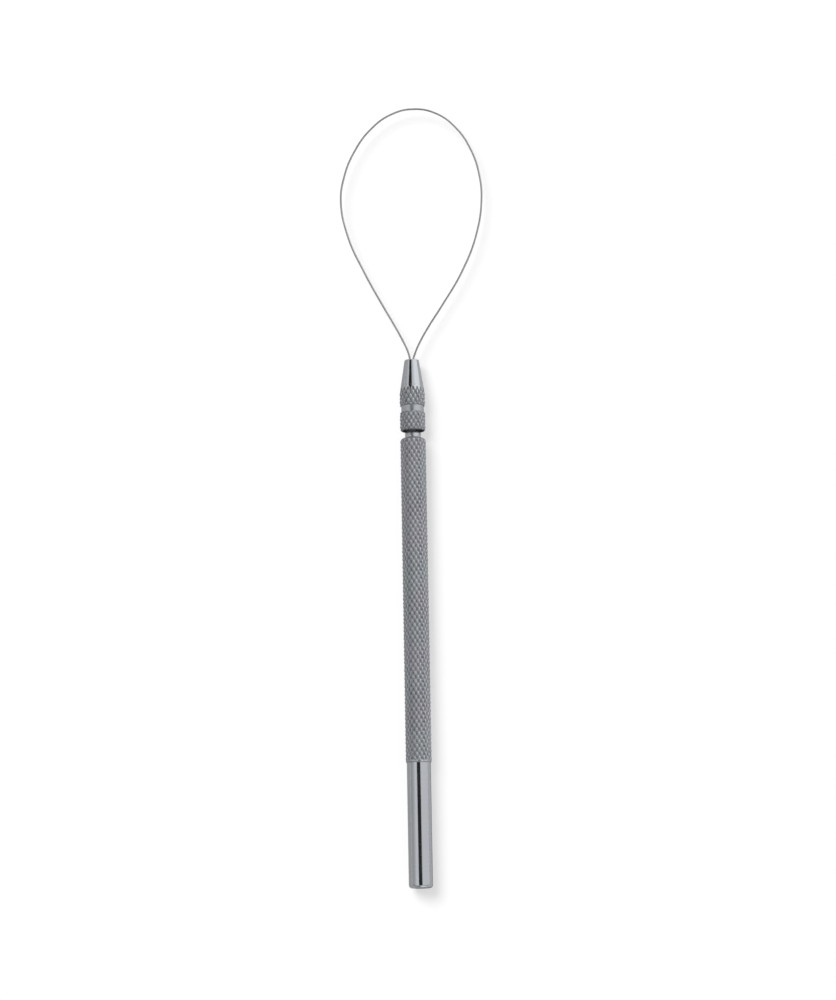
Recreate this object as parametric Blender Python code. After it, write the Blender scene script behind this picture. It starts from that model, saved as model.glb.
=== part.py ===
"""Wire pulling loop held by a collet chuck in a slim knurled handle.

The tool lies along +Y: the middle of the tail's end face is at the origin, and the chuck and
the loop point to +Y. The loop lies flat in the XY plane. +Z is up when the tool lies on a table.
Four pieces come apart on a bench: the turned handle with its threaded neck, the split collet
that sits loose in the neck's bore, the chuck nut that closes the collet, and the loop, which
is one spring-steel wire bent round, with both of its legs side by side in the collet.
"""

from math import atan2, cos, floor, pi, radians, sin, tan

import bmesh
import bpy
from mathutils import Matrix, Vector

MM = 0.001

# Diamond knurl, the same on the grip and on both bands of the nut
KNURL_DIAMETER = 6.50 * MM
KNURL_DEPTH = 0.40 * MM
KNURL_PITCH = 1.98 * MM
KNURL_CHAMFER = 0.30 * MM
DIAMONDS_AROUND = 16

# Handle: plain tail, knurled grip, and the neck that carries the thread
TAIL_DIAMETER = 5.90 * MM
TAIL_LENGTH = 30.5 * MM
TAIL_EDGE_RADIUS = 0.80 * MM
GRIP_LENGTH = 81.4 * MM
SHOULDER_RADIUS = 1.0 * MM
NECK_DIAMETER = 3.85 * MM
NECK_SHOWN = 1.95 * MM
THREAD_ENGAGED = 8.0 * MM
NECK_TIP_CHAMFER = 0.35 * MM

# Bores in the handle: one for the collet's shank, and a deeper one for long wires
SHANK_BORE_DIAMETER = 2.50 * MM
SHANK_BORE_DEPTH = 12.5 * MM
WIRE_BORE_DIAMETER = 1.60 * MM
WIRE_BORE_DEPTH = 20.0 * MM
DRILL_POINT_ANGLE = radians(118)

# Chuck nut, from its rear face to its mouth
REAR_BAND_LENGTH = 4.72 * MM
GROOVE_WIDTH = 1.54 * MM
GROOVE_DIAMETER = 5.65 * MM
FRONT_BAND_LENGTH = 2.70 * MM
CONE_LENGTH = 9.25 * MM
MOUTH_DIAMETER = 3.68 * MM
MOUTH_EDGE_RADIUS = 0.25 * MM
MOUTH_BORE_DIAMETER = 2.40 * MM
INNER_CONE_LENGTH = 6.6 * MM
NUT_ENTRY_CHAMFER = 0.35 * MM

# Split collet, whose head passes through the nut's thread
COLLET_HEAD_DIAMETER = 3.30 * MM
COLLET_SHANK_LENGTH = 10.0 * MM
COLLET_SHANK_CHAMFER = 0.20 * MM
COLLET_BORE_DIAMETER = 1.36 * MM
COLLET_TIP_DEPTH = 0.15 * MM
SLIT_WIDTH = 0.32 * MM
SLIT_LENGTH = 13.5 * MM
JAW_COUNT = 4

# Wire loop
WIRE_DIAMETER = 0.50 * MM
LOOP_LENGTH = 66.2 * MM
LOOP_WIDTH = 36.0 * MM
LEG_LENGTH = 15.0 * MM
LEG_SPACING = 0.68 * MM
LEG_SPACING_AT_MOUTH = 0.76 * MM
LOOP_LEAN = radians(1.5)

# Clearances
THREAD_CLEARANCE = 0.06 * MM
SHANK_CLEARANCE = 0.06 * MM
CONE_CLEARANCE = 0.08 * MM
SHOULDER_CLEARANCE = 0.30 * MM
CUT_OVERRUN = 1.0 * MM

# Points of the loop from the left leg round the top to the right leg: the share of the
# loop's width to the side of the axis, and the share of its length beyond the mouth
LOOP_SHARES = (
    (-0.025, 0.033),
    (-0.0512, 0.065),
    (-0.1194, 0.135),
    (-0.1972, 0.208),
    (-0.3409, 0.351),
    (-0.4593, 0.493),
    (-0.5125, 0.636),
    (-0.4912, 0.7315),
    (-0.4259, 0.827),
    (-0.305, 0.922),
    (-0.1589, 0.9805),
    (0.0028, 1.0),
    (0.1593, 0.9805),
    (0.2997, 0.922),
    (0.4127, 0.827),
    (0.4683, 0.7315),
    (0.4859, 0.636),
    (0.4503, 0.493),
    (0.3545, 0.351),
    (0.2053, 0.208),
    (0.1218, 0.135),
    (0.0523, 0.065),
    (0.0279, 0.033),
)
# Where along each straight leg, from its end to the mouth, the curve has a point
LEG_POINT_SHARES = (0.0, 0.5, 0.9)

# How finely round and curved shapes are stepped
COLUMNS = 2 * DIAMONDS_AROUND
EDGE_STEPS = 4
WIRE_STEPS = 3
WIRE_ROUNDNESS = 2
MERGE_DISTANCE = 0.001 * MM
SHARP_ANGLE = radians(30)

# Radii and places along the axis, worked out from the sizes above
CREST = KNURL_DIAMETER / 2
ROOT = CREST - KNURL_DEPTH
TAIL_RADIUS = TAIL_DIAMETER / 2
NECK_RADIUS = NECK_DIAMETER / 2
SHOULDER_Y = TAIL_LENGTH + GRIP_LENGTH
NUT_REAR_Y = SHOULDER_Y + NECK_SHOWN
NUT_LENGTH = REAR_BAND_LENGTH + GROOVE_WIDTH + FRONT_BAND_LENGTH + CONE_LENGTH
MOUTH_Y = NUT_REAR_Y + NUT_LENGTH
NECK_TIP_Y = NUT_REAR_Y + THREAD_ENGAGED
COLLET_SHOULDER_Y = NECK_TIP_Y + SHOULDER_CLEARANCE
COLLET_REAR_Y = COLLET_SHOULDER_Y - COLLET_SHANK_LENGTH
COLLET_TIP_Y = MOUTH_Y - COLLET_TIP_DEPTH
NUT_BORE_RADIUS = NECK_RADIUS + THREAD_CLEARANCE
NOSE_SLOPE = (CREST - MOUTH_DIAMETER / 2) / (CONE_LENGTH - MOUTH_EDGE_RADIUS)
INNER_SLOPE = (NUT_BORE_RADIUS - MOUTH_BORE_DIAMETER / 2) / INNER_CONE_LENGTH


def clear_scene():
    """Empties the scene that Blender opens with."""
    for thing in list(bpy.data.objects):
        bpy.data.objects.remove(thing, do_unlink=True)


def metal(name, colour, roughness):
    """A bare metal with its own colour and polish."""
    material = bpy.data.materials.new(name)
    material.use_nodes = True
    shader = material.node_tree.nodes["Principled BSDF"]
    shader.inputs["Base Color"].default_value = (*colour, 1.0)
    shader.inputs["Roughness"].default_value = roughness
    shader.inputs["Metallic"].default_value = 1.0
    material.diffuse_color = (*colour, 1.0)
    return material


def place(name, data, y, parent=None):
    """Puts a piece on the tool's axis at y, counted from the tail, under the piece it rides on."""
    piece = bpy.data.objects.new(name, data)
    bpy.context.collection.objects.link(piece)
    carried_at = 0
    if parent:
        piece.parent = parent
        carried_at = parent.matrix_world.translation.y
    piece.location.y = y - carried_at
    bpy.context.view_layer.update()
    return piece


def rounded_edge(y, radius, edge, outward):
    """Points of a quarter-round edge, from the end face at y back to the cylinder."""
    points = []
    for step in range(EDGE_STEPS + 1):
        angle = pi / 2 * step / EDGE_STEPS
        points.append((y - outward * edge * (1 - cos(angle)), radius - edge * (1 - sin(angle))))
    return points


def plain(points):
    """Marks profile points as lying outside the knurl, in row 0."""
    return [(y, radius, 0) for y, radius in points]


def knurl_rows(start, end):
    """Rows of a knurled stretch, half a diamond apart and fitted to its length."""
    count = max(2, round((end - start) / (KNURL_PITCH / 2)))
    return [(start + (end - start) * row / count, row + 1) for row in range(count + 1)]


def press_knurl(work, row_layer):
    """Presses the grooves' crossings in, and creases the faces along the grooves.

    A diamond's crest stands where column and row are both odd or both even. The corners
    between the crests go in to the knurl's root, and the grooves run from root to root.
    """
    roots = []
    for vert in work.verts:
        row = vert[row_layer]
        angle = atan2(-vert.co.z, vert.co.x) % (2 * pi)
        column = floor(angle / (2 * pi / COLUMNS))
        radius = Vector((vert.co.x, vert.co.z)).length
        if row and (row + column) % 2 and radius > ROOT:
            vert.co.x *= ROOT / radius
            vert.co.z *= ROOT / radius
            roots.append(vert)
    bmesh.ops.connect_verts(work, verts=roots)


def turned(name, stations, ring):
    """Turns a profile of (y, radius, knurl row) points round the Y axis and knurls it.

    A ring's profile closes on itself. Any other profile starts and ends on the axis. The
    profile starts half a column up, so the tool lies on a flat and not on a row of crests.
    """
    work = bmesh.new()
    row_layer = work.verts.layers.int.new("knurl_row")
    half_column = Matrix.Rotation(pi / COLUMNS, 3, "Y")
    profile = []
    for y, radius, row in stations:
        vert = work.verts.new(half_column @ Vector((radius, y, 0)))
        vert[row_layer] = row
        profile.append(vert)
    edges = [work.edges.new(pair) for pair in zip(profile, profile[1:])]
    if ring:
        edges.append(work.edges.new((profile[-1], profile[0])))
    bmesh.ops.spin(
        work,
        geom=profile + edges,
        cent=(0, 0, 0),
        axis=(0, 1, 0),
        angle=2 * pi,
        steps=COLUMNS,
        use_merge=True,
    )
    bmesh.ops.remove_doubles(work, verts=work.verts, dist=MERGE_DISTANCE)
    press_knurl(work, row_layer)
    bmesh.ops.triangulate(work, faces=work.faces)
    bmesh.ops.recalc_face_normals(work, faces=work.faces)
    mesh = bpy.data.meshes.new(name)
    work.to_mesh(mesh)
    work.free()
    mesh.shade_smooth()
    mesh.set_sharp_from_angle(angle=SHARP_ANGLE)
    return mesh


def from_here(stations, y):
    """Counts a profile's places from y, where the piece has its origin."""
    return [(station_y - y, radius, row) for station_y, radius, row in stations]


def handle_profile():
    """The handle from its tail, over the grip and the neck, and down its bores."""
    tail = [(0, 0)] + rounded_edge(0, TAIL_RADIUS, TAIL_EDGE_RADIUS, -1)
    tail.append((TAIL_LENGTH, TAIL_RADIUS))
    rows = knurl_rows(TAIL_LENGTH + KNURL_CHAMFER, SHOULDER_Y - SHOULDER_RADIUS)
    grip = [(y, CREST, row) for y, row in rows]
    last_row = rows[-1][1]
    shoulder = rounded_edge(SHOULDER_Y, CREST, SHOULDER_RADIUS, 1)[-2::-1]
    grip += [(y, radius, last_row) for y, radius in shoulder]
    bore_end_y = NECK_TIP_Y - SHANK_BORE_DEPTH
    drill_end_y = bore_end_y - WIRE_BORE_DEPTH
    drill_point = WIRE_BORE_DIAMETER / 2 / tan(DRILL_POINT_ANGLE / 2)
    neck = [
        (SHOULDER_Y, NECK_RADIUS),
        (NECK_TIP_Y - NECK_TIP_CHAMFER, NECK_RADIUS),
        (NECK_TIP_Y, NECK_RADIUS - NECK_TIP_CHAMFER),
        (NECK_TIP_Y, SHANK_BORE_DIAMETER / 2),
        (bore_end_y, SHANK_BORE_DIAMETER / 2),
        (bore_end_y, WIRE_BORE_DIAMETER / 2),
        (drill_end_y, WIRE_BORE_DIAMETER / 2),
        (drill_end_y - drill_point, 0),
    ]
    return plain(tail) + grip + plain(neck)


def nose_radius(y):
    """The nut's outside at y, on the front band or the cone."""
    cone_end_y = MOUTH_Y - MOUTH_EDGE_RADIUS
    return min(CREST, MOUTH_DIAMETER / 2 + NOSE_SLOPE * (cone_end_y - y))


def nut_profile():
    """The nut from its rear face, over both bands and the cone, and back through its bore."""
    rear_end_y = NUT_REAR_Y + REAR_BAND_LENGTH
    front_start_y = rear_end_y + GROOVE_WIDTH
    band_edge = CREST - KNURL_CHAMFER
    rear_rows = knurl_rows(NUT_REAR_Y + KNURL_CHAMFER, rear_end_y - KNURL_CHAMFER)
    rear = [(NUT_REAR_Y, band_edge, rear_rows[0][1])]
    rear += [(y, CREST, row) for y, row in rear_rows]
    rear.append((rear_end_y, band_edge, rear_rows[-1][1]))
    groove = plain([(rear_end_y, GROOVE_DIAMETER / 2), (front_start_y, GROOVE_DIAMETER / 2)])
    fade_y = MOUTH_Y - MOUTH_EDGE_RADIUS - (ROOT - MOUTH_DIAMETER / 2) / NOSE_SLOPE
    front_rows = knurl_rows(front_start_y + KNURL_CHAMFER, fade_y)
    front = [(front_start_y, band_edge, front_rows[0][1])]
    front += [(y, nose_radius(y), row) for y, row in front_rows]
    mouth = rounded_edge(MOUTH_Y, MOUTH_DIAMETER / 2, MOUTH_EDGE_RADIUS, 1)[::-1]
    inside = [
        (MOUTH_Y, MOUTH_BORE_DIAMETER / 2),
        (MOUTH_Y - INNER_CONE_LENGTH, NUT_BORE_RADIUS),
        (NUT_REAR_Y + NUT_ENTRY_CHAMFER, NUT_BORE_RADIUS),
        (NUT_REAR_Y, NUT_BORE_RADIUS + NUT_ENTRY_CHAMFER),
    ]
    return rear + groove + front + plain(mouth) + plain(inside)


def collet_profile():
    """The collet from its rear end, over the shank and the cone, and back through its bore."""
    shank = SHANK_BORE_DIAMETER / 2 - SHANK_CLEARANCE
    head = COLLET_HEAD_DIAMETER / 2
    tip = MOUTH_BORE_DIAMETER / 2 + INNER_SLOPE * COLLET_TIP_DEPTH - CONE_CLEARANCE
    cone_length = (head - tip) / INNER_SLOPE
    bore = COLLET_BORE_DIAMETER / 2
    outline = [
        (COLLET_REAR_Y, bore),
        (COLLET_REAR_Y, shank - COLLET_SHANK_CHAMFER),
        (COLLET_REAR_Y + COLLET_SHANK_CHAMFER, shank),
        (COLLET_SHOULDER_Y, shank),
        (COLLET_SHOULDER_Y, head),
        (COLLET_TIP_Y - cone_length, head),
        (COLLET_TIP_Y, tip),
        (COLLET_TIP_Y, bore),
    ]
    return plain(outline)


def cut_slits(collet):
    """Saws the collet's nose into jaws. Each cut goes right across, so it makes two slits."""
    length = SLIT_LENGTH + CUT_OVERRUN
    across = 2 * (NUT_BORE_RADIUS + CUT_OVERRUN)
    for cut in range(JAW_COUNT // 2):
        work = bmesh.new()
        bmesh.ops.create_cube(work, size=1)
        bmesh.ops.scale(work, vec=(across, length, SLIT_WIDTH), verts=work.verts)
        mesh = bpy.data.meshes.new(f"slit_cutter_{cut + 1}")
        work.to_mesh(mesh)
        work.free()
        middle_y = COLLET_TIP_Y - SLIT_LENGTH + length / 2
        cutter = place(f"slit_cutter_{cut + 1}", mesh, middle_y)
        cutter.rotation_euler.y = (2 * cut + 1) * pi / JAW_COUNT
        cutter.hide_render = True
        cutter.display_type = "WIRE"
        slit = collet.modifiers.new(f"slit_{cut + 1}", "BOOLEAN")
        slit.operation = "DIFFERENCE"
        slit.solver = "EXACT"
        slit.object = cutter


def leg_points(side):
    """Points of one straight leg, from its end in the collet up to the mouth."""
    points = []
    for share in LEG_POINT_SHARES:
        points.append((side * LEG_SPACING / 2, (share - 1) * LEG_LENGTH))
    points.append((side * LEG_SPACING_AT_MOUTH / 2, 0))
    return points


def loop_curve():
    """The wire's centre line as a curve, counted from the middle of the nut's mouth.

    The loop leans a little to +X, as a hand-bent one does, and its legs stay straight.
    """
    bend = []
    for side, along in LOOP_SHARES:
        y = along * LOOP_LENGTH
        bend.append((side * LOOP_WIDTH + y * tan(LOOP_LEAN), y))
    route = leg_points(-1) + bend + leg_points(1)[::-1]
    curve = bpy.data.curves.new("wire_loop", "CURVE")
    curve.dimensions = "3D"
    curve.resolution_u = WIRE_STEPS
    curve.render_resolution_u = WIRE_STEPS
    curve.bevel_depth = WIRE_DIAMETER / 2
    curve.bevel_resolution = WIRE_ROUNDNESS
    curve.use_fill_caps = True
    spline = curve.splines.new("BEZIER")
    spline.bezier_points.add(len(route) - 1)
    for knot, (x, y) in zip(spline.bezier_points, route):
        knot.co = (x, y, 0)
        knot.handle_left_type = "AUTO"
        knot.handle_right_type = "AUTO"
    return curve


def build():
    clear_scene()
    handle = place("handle", turned("handle", handle_profile(), False), 0)
    handle.data.materials.append(metal("satin_stainless", (0.60, 0.61, 0.63), 0.30))
    rear_y = COLLET_REAR_Y
    collet_mesh = turned("collet", from_here(collet_profile(), rear_y), True)
    collet = place("collet", collet_mesh, rear_y, handle)
    collet.data.materials.append(metal("turned_brass", (0.80, 0.62, 0.32), 0.28))
    cut_slits(collet)
    nut_mesh = turned("chuck_nut", from_here(nut_profile(), NUT_REAR_Y), True)
    nut = place("chuck_nut", nut_mesh, NUT_REAR_Y, collet)
    nut.data.materials.append(metal("polished_stainless", (0.66, 0.67, 0.69), 0.18))
    loop = place("wire_loop", loop_curve(), MOUTH_Y, collet)
    loop.data.materials.append(metal("spring_steel_wire", (0.45, 0.44, 0.41), 0.32))


build()
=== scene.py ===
"""Fine meshes, finishes, light and camera for a wire pulling loop in a knurled collet chuck.

The tool lies along +Y with the middle of the tail's end face at the origin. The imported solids
give each piece's place and outer size. The settings below give the sizes in between, and what the
solids don't hold: the diamond knurl with its rounded crests, the thread, and the surfaces' finish.
"""

from math import ceil, cos, floor, pi, radians, sin, sqrt, tan

import bmesh
import bpy
from bpy.props import FloatProperty, FloatVectorProperty, IntProperty, PointerProperty
from mathutils import Matrix, Vector


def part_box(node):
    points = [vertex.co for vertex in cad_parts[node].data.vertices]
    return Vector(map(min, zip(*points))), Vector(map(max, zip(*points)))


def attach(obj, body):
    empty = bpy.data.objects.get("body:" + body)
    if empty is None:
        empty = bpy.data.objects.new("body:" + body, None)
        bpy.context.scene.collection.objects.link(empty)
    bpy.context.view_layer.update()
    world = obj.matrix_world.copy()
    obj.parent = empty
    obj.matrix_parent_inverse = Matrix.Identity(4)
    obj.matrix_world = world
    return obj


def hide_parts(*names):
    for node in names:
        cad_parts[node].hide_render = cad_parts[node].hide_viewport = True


bl_info = {
    "name": "Wire Pulling Loop",
    "version": (1, 0, 0),
    "blender": (4, 5, 0),
    "location": "3D View > Sidebar > Pulling Loop",
    "description": "Models the knurled handle, chuck nut, collet and wire loop of a pulling tool",
    "category": "Mesh",
}

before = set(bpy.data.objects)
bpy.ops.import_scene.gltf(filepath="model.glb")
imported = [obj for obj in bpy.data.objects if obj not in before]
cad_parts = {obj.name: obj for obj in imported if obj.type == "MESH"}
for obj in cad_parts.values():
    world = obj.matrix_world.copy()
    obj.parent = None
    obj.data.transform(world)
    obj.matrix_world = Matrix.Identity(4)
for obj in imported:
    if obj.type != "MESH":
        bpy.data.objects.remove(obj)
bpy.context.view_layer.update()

MM = 0.001

# Outer sizes and places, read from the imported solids
HANDLE_LOW, HANDLE_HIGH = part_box("handle")
NUT_LOW, NUT_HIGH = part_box("chuck_nut")
COLLET_LOW, COLLET_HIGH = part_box("collet")
CREST = HANDLE_HIGH.z
NECK_TIP_Y = HANDLE_HIGH.y
NUT_REAR_Y = NUT_LOW.y
MOUTH_Y = NUT_HIGH.y
FLOOR_Z = HANDLE_LOW.z

# How finely the turned and wound shapes are stepped
STEPS_PER_DIAMOND = 6
ARC_STEPS = 8
WIRE_STEPS = 14
WIRE_ROUNDNESS = 6
FLOOR_STEPS = 96

# How near points and edges count as one, the first of them in diamonds of the knurl's sheet
SNAP = 0.0001
MERGE_DISTANCE = 0.0005 * MM
RING_TOLERANCE = 0.0005 * MM

# Corners above this angle are sharp, and edges laid this far from one keep its shading crisp
SHARP_ANGLE = radians(44)
SUPPORT = 0.1 * MM

# The attribute that marks polished crests, and how much is turned off them until it is full
POLISH = "polish"
POLISH_STEP = 0.02 * MM

# How far the thread's flanks lean from square across the tool, and half the drill's point
FLANK_ANGLE = radians(30)
DRILL_ANGLE = radians(59)

# A piece's materials, by their place in its list; the last is dark steel, painted shade of the gap
# behind the nut
KNURLED, POLISHED, THREADED, TURNED, PAINTED_SHADE_END = range(5)

# How rough each turned surface is, and how far apart and how high the rings on it are
POLISHED_RINGS = (0.10, 0.05 * MM, 0.00025 * MM)
NECK_RINGS = (0.27, 0.06 * MM, 0.0004 * MM)
GROOVE_RINGS = (0.36, 0.08 * MM, 0.0006 * MM)
PAINTED_SHADE_RINGS = (0.45, 0.08 * MM, 0.001 * MM)
BRASS_RINGS = (0.20, 0.08 * MM, 0.0006 * MM)

# The pace of coarse rings next to fine ones, and of drift next to smudges
COARSE_PACE = 0.09
DRIFT_PACE = 0.45

# Which way the hair scratches run, and how long they are drawn out
SCRATCH_TURN = (0, 0.3, 0.5)
SCRATCH_STRETCH = (1.0, 0.06, 1.0)

# How rings and drift change a turned metal's tone, and how smudges and scratches roughen it
RING_TONES = (0.94, 1.05)
DRIFT_TONE = 0.96
SMUDGE_ROUGHNESS = 0.05
SCRATCH_ROUGHNESS = 0.06

# Tints of a knurl or thread, its tone where it is polished, and how rough its parts are
COOL_TINT = (0.95, 1.0, 0.99)
WARM_TINT = (1.0, 0.94, 1.0)
BURNISHED_TONE = 1.05
CREST_ROUGHNESS = 0.275
GROOVE_ROUGHNESS = 0.48
SPECK_ROUGHNESS = 0.10
BURNISHED_ROUGHNESS = 0.11

# How fine the knurled steel's grain is, per metre, and how high
GRAIN_SCALE = 9000.0
GRAIN_HEIGHT = 0.006 * MM

# Lines on the drawn wire: how many along and around it, their height, tones and roughness
LINE_SCALE = (40.0, 60.0, 1.0)
LINE_HEIGHT = 0.004 * MM
WIRE_DARK = 0.85
WIRE_PALE = 1.08
WIRE_ROUGHNESS = (0.26, 0.40)

# The floor, the way from the tool to the key light, and the camera's sensor and reach
FLOOR_RADIUS = 4
KEY_DIRECTION = (-0.54, 0.57, 1)
CAMERA_SENSOR = 36
CAMERA_CLIP = (0.01, 20)

# Light that the floor adds for the camera, and the painted reflection: how much paler it is
# mirrored close by, to the left and to the right of the tool
FLOOR_GLOW = 0.615
PAINTED_NEAR_REFLECTION = (1.22, 1.5)

# The studio's tint, and its dark gap overhead: its level, its half width and how that grows
# ahead, and how far it leans to the left there
STUDIO_TINT = (0.985, 0.99, 1.0, 1)
WHITE = (1, 1, 1, 1)
GAP_LEVEL = 0.03
GAP_HALF_WIDTH = 0.30
GAP_WIDENING = 0.035
GAP_LEAN = -0.48

# Points of the loop from the left leg round the top to the right leg: the share of the
# loop's width to the side of the axis, and the share of its length beyond the mouth
LOOP_SHARES = (
    (-0.025, 0.033), (-0.0512, 0.065), (-0.1194, 0.135), (-0.1972, 0.208),
    (-0.3409, 0.351), (-0.4593, 0.493), (-0.5125, 0.636), (-0.4912, 0.7315),
    (-0.4259, 0.827), (-0.305, 0.922), (-0.1589, 0.9805), (0.0028, 1.0),
    (0.1593, 0.9805), (0.2997, 0.922), (0.4127, 0.827), (0.4683, 0.7315),
    (0.4859, 0.636), (0.4503, 0.493), (0.3545, 0.351), (0.2053, 0.208),
    (0.1218, 0.135), (0.0523, 0.065), (0.0279, 0.033),
)

# Where along each straight leg, from its end to the mouth, the curve has a point
LEG_POINT_SHARES = (0.0, 0.5, 0.9)


def length(name, description, default):
    """A size in metres that a user can change."""
    return FloatProperty(
        name=name, description=description, default=default, min=0, precision=5, unit="LENGTH"
    )


def colour(name, description, default):
    """A colour that a user can change."""
    return FloatVectorProperty(
        name=name, description=description, default=default, min=0, max=1, subtype="COLOR"
    )


def share(name, description, default):
    """A plain number from 0 to 1 that a user can change."""
    return FloatProperty(
        name=name, description=description, default=default, min=0, max=1, subtype="FACTOR"
    )


def degrees(name, description, default):
    """An angle that a user can change, with its default in degrees."""
    return FloatProperty(
        name=name, description=description, default=radians(default), subtype="ANGLE"
    )


class KnurlSettings(bpy.types.PropertyGroup):
    """Diamond knurl of the grip and of both bands on the nut."""

    pitch: length("Pitch", "Length of one diamond along the tool", 1.98 * MM)
    depth: length("Depth", "How deep the pits where grooves cross lie below the crests", 0.40 * MM)
    crest_width: FloatProperty(
        name="Crest width", description="Above 1 widens the crests", default=1.25, min=0.5, max=4
    )
    grip_net: share("Grip net", "How far the grip's grooves join up to a net", 0.12)
    nut_net: share("Nut net", "How far the nut's grooves join up to a net", 0.35)
    chamfer: length("Edge chamfer", "Chamfer at the ends of a knurled band", 0.30 * MM)
    runout: length("Runout", "Length over which the grooves fade at the tail", 0.70 * MM)
    diamonds: IntProperty(
        name="Diamonds around", description="Diamonds in one row round the tool", default=16, min=6
    )
    turn: degrees("Turn", "How far the pattern is turned from the top of the tool", 3.3)


class HandleSettings(bpy.types.PropertyGroup):
    """Turned handle with its tail, grip and neck."""

    tail_diameter: length("Tail diameter", "Diameter of the plain tail", 5.90 * MM)
    tail_length: length("Tail length", "Length of the plain tail", 30.5 * MM)
    tail_edge: length("Tail edge radius", "Rounding of the tail's end", 0.80 * MM)
    grip_length: length("Grip length", "Length of the knurled grip", 81.4 * MM)
    shoulder: length("Shoulder radius", "Rounding at the front of the grip", 1.0 * MM)
    neck_diameter: length("Neck diameter", "Diameter of the neck and its thread", 3.85 * MM)
    shank_bore: length("Shank bore", "Diameter of the collet's seat", 2.50 * MM)
    shank_bore_depth: length("Shank bore depth", "Depth of the collet's seat", 12.5 * MM)
    wire_bore: length("Wire bore", "Diameter of the bore for long wires", 1.60 * MM)
    wire_bore_depth: length("Wire bore depth", "Depth of the bore for long wires", 20.0 * MM)


class ThreadSettings(bpy.types.PropertyGroup):
    """Thread on the neck and in the nut."""

    lead: length("Lead", "How far the nut travels in one turn", 0.50 * MM)
    depth: length("Thread depth", "Depth of the thread below its crest", 0.27 * MM)
    clearance: length("Clearance", "Gap between neck and nut", 0.06 * MM)
    relief: length("Relief", "Width of the plain groove at the thread's end", 0.42 * MM)
    start: length("Start", "From the nut's rear face to the thread on the neck", 0.30 * MM)


class NutSettings(bpy.types.PropertyGroup):
    """Chuck nut with two knurled bands, a groove and a polished cone."""

    rear_band: length("Rear band", "Length of the rear knurled band", 4.72 * MM)
    groove_width: length("Groove width", "Width of the plain groove", 1.54 * MM)
    groove_diameter: length("Groove diameter", "Diameter in the plain groove", 5.65 * MM)
    cone_length: length("Cone length", "Length of the polished cone", 9.25 * MM)
    mouth_diameter: length("Mouth diameter", "Diameter of the nose at its mouth", 3.68 * MM)
    mouth_edge: length("Mouth edge", "Rounding of the nose's edge", 0.25 * MM)
    mouth_bore: length("Mouth bore", "Bore at the mouth", 2.40 * MM)
    inner_cone: length("Inner cone", "Length of the cone that closes the collet", 6.6 * MM)
    entry_chamfer: length("Entry chamfer", "Chamfer of the bore at the rear", 0.50 * MM)


class ColletSettings(bpy.types.PropertyGroup):
    """Split collet that grips the wire."""

    head_diameter: length("Head diameter", "Diameter of the head behind its cone", 3.30 * MM)
    shank_length: length("Shank length", "Length of the shank in the handle", 10.0 * MM)
    edge: length("Edge", "Chamfer on the collet's edges", 0.10 * MM)
    bore: length("Bore", "Bore when the jaws stand open", 1.36 * MM)
    slit_width: length("Slit width", "Width of the saw cuts", 0.32 * MM)
    slit_length: length("Slit length", "Length of the saw cuts", 13.5 * MM)
    jaws: IntProperty(name="Jaws", description="Number of jaws", default=4, min=2)


class WireSettings(bpy.types.PropertyGroup):
    """Spring wire bent to a loop."""

    diameter: length("Wire diameter", "Diameter of the wire", 0.50 * MM)
    loop_length: length("Loop length", "Length of the loop beyond the mouth", 66.2 * MM)
    loop_width: length("Loop width", "Width of the loop", 35.97 * MM)
    leg_length: length("Leg length", "Length of the legs in the chuck", 15.0 * MM)
    leg_spacing: length("Leg spacing", "Between the legs' middles in the collet", 0.68 * MM)
    mouth_spacing: length("Spacing at mouth", "Between the legs' middles at the mouth", 0.76 * MM)
    lean: degrees("Lean", "How far the loop leans to the side", 1.5)


class FinishSettings(bpy.types.PropertyGroup):
    """Colours of the metals."""

    polished: colour("Polished steel", "Cone and tail", (0.553, 0.574, 0.600))
    neck: colour("Turned steel", "Neck and the nut's groove", (0.55, 0.57, 0.595))
    knurled: colour("Knurled steel", "Crests of the knurl", (0.54, 0.555, 0.575))
    groove: colour("Groove", "Bottom of the knurl's grooves", (0.23, 0.24, 0.255))
    # Its darkness is painted shade of the gap between the nut's rear end and the handle
    dull: colour("Dull steel", "Rear end of the nut", (0.19, 0.195, 0.205))
    brass: colour("Brass", "Collet", (0.80, 0.62, 0.32))
    wire: colour("Wire", "Spring wire", (0.505, 0.502, 0.483))
    floor: colour("Floor", "Pale surface under the tool", (0.16, 0.16, 0.16))


class StageSettings(bpy.types.PropertyGroup):
    """Camera and light."""

    elevation: degrees("Elevation", "Height of the camera above the tail's side", 79.5)
    roll: degrees("Roll", "Turn of the camera", 1.035)
    distance: length("Distance", "From the camera to the tool", 0.69)
    view_height: length("View height", "Height of the view at the tool", 250 * MM)
    aim_along: length("Aim along", "Point on the tool at the picture's middle", 96.2 * MM)
    aim_aside: length("Aim aside", "How far to the side the picture's middle is", 0.98 * MM)
    key_power: FloatProperty(
        name="Key light", description="Power of the soft key light", default=990.0, unit="POWER"
    )
    key_distance: length("Key distance", "From the key light to the tool", 6.0)
    key_size: length("Key size", "Diameter of the key light", 3.75)


class PullingLoopSettings(bpy.types.PropertyGroup):
    """All settings of the tool."""

    knurl: PointerProperty(type=KnurlSettings)
    handle: PointerProperty(type=HandleSettings)
    thread: PointerProperty(type=ThreadSettings)
    nut: PointerProperty(type=NutSettings)
    collet: PointerProperty(type=ColletSettings)
    wire: PointerProperty(type=WireSettings)
    finish: PointerProperty(type=FinishSettings)
    stage: PointerProperty(type=StageSettings)


# Turned meshes


def ring_at(work, y):
    """Open edges of the mesh that lie in the plane across the tool at y."""
    return [
        edge
        for edge in work.edges
        if edge.is_boundary and all(abs(vert.co.y - y) < RING_TOLERANCE for vert in edge.verts)
    ]


def set_radius(vert, radius):
    """Moves a vertex straight out or in to its distance from the tool's axis."""
    now = sqrt(vert.co.x**2 + vert.co.z**2)
    vert.co.x *= radius / now
    vert.co.z *= radius / now


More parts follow.
